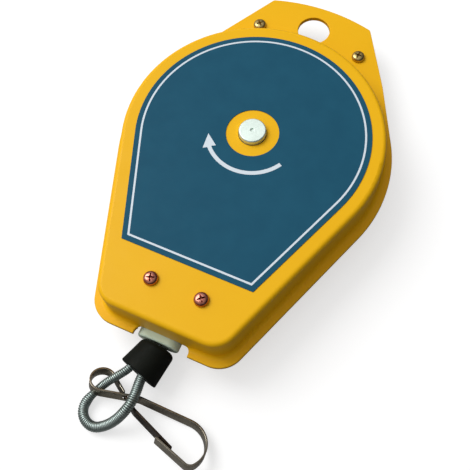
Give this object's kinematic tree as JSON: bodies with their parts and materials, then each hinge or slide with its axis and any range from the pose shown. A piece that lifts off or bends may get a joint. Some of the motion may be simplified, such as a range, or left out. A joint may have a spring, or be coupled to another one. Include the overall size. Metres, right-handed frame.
{
  "type": "spring tool balancer",
  "caption": "Flat spring balancer in a pressed-steel case with a hanging tab, an adjustable coil-spring drum, a pull rope with stopper and a snap hook.",
  "frame": {"origin": "on the spring axle's axis, in the plane of the rear cover's flat back", "axes": "+Z out of the labelled face along the axle, +Y towards the hanging tab, the rope pays out along -Y, +X to the right seen from the front"},
  "size_m": [0.1208, 0.2199, 0.0345],
  "materials": {
    "yellow_enamel": "gloss",
    "label_film": "gloss",
    "zinc_steel": "zinc plated",
    "bright_steel": "turned",
    "spring_steel": "blued",
    "bronze": "sintered",
    "drum_metal": "die cast",
    "nylon": "natural nylon",
    "black_rubber": "matte",
    "rope_steel": "stranded wire",
    "sleeve_steel": "close-wound wire",
    "hook_steel": "tarnished nickel"
  },
  "bodies": {
    "case": {"front_cover": "yellow_enamel", "rear_cover": "yellow_enamel", "face_label": "label_film", "tab_screws": "zinc_steel", "tab_nuts": "zinc_steel", "foot_screws": "zinc_steel", "spacer_posts": "zinc_steel", "rope_guide": "nylon", "front_bearing": "bronze", "rear_bearing": "bronze", "pawl_rivets": "zinc_steel", "pawl_spring": "spring_steel", "rope_lead": "rope_steel"},
    "spring_axle": {"axle": "bright_steel", "axle_clip": "spring_steel", "ratchet_wheel": "zinc_steel"},
    "rope_drum": {"drum": "drum_metal", "drum_lid": "drum_metal", "spiral_spring": "spring_steel", "spring_rivet": "zinc_steel", "wound_rope": "rope_steel"},
    "tension_pawl": {"pawl": "zinc_steel"},
    "rope_end": {"rope_payout": "rope_steel", "rubber_stopper": "black_rubber", "rope_ferrule": "bronze", "hanger_cable": "sleeve_steel", "loop_sleeve": "sleeve_steel"},
    "hook": {"snap_hook": "hook_steel"},
    "gate": {"hook_gate": "hook_steel"}
  },
  "joints": [
    {"name": "rope_pull", "type": "slide", "parent": "case", "child": "rope_end", "axis": [0, -1, 0], "range_m": [0, 1], "stiffness_N_per_m": 6, "springref_m": -1.5, "deforming": ["rope_payout"]},
    {"name": "drum_spin", "type": "hinge", "parent": "case", "child": "rope_drum", "pos_m": [0, 0, 0.015], "axis": [0, 0, 1], "range_deg": [0, 1274], "deforming": ["spiral_spring"]},
    {"name": "tension_adjust", "type": "hinge", "parent": "case", "child": "spring_axle", "pos_m": [0, 0, 0.015], "axis": [0, 0, 1], "range_deg": [-1440, 0]},
    {"name": "pawl_release", "type": "hinge", "parent": "case", "child": "tension_pawl", "pos_m": [0.014, 0.017, 0.003], "axis": [0, 0, 1], "range_deg": [0, 8], "stiffness_Nm_per_rad": 0.02, "springref_deg": -11.46, "deforming": ["pawl_spring"]},
    {"name": "hook_swing", "type": "hinge", "parent": "rope_end", "child": "hook", "pos_m": [-0.0154, -0.1161, 0.0063], "axis": [0.082, 0.3984, 0.9135], "range_deg": [0, 14]},
    {"name": "gate_open", "type": "hinge", "parent": "hook", "child": "gate", "pos_m": [-0.00564, -0.11662, 0.00566], "axis": [0.082, 0.3984, 0.9135], "range_deg": [0, 12], "stiffness_Nm_per_rad": 0.05, "springref_deg": -8.59}
  ],
  "couplings": [
    {"joint": "drum_spin", "follows": "rope_pull", "rad_per_m": 22.222}
  ]
}
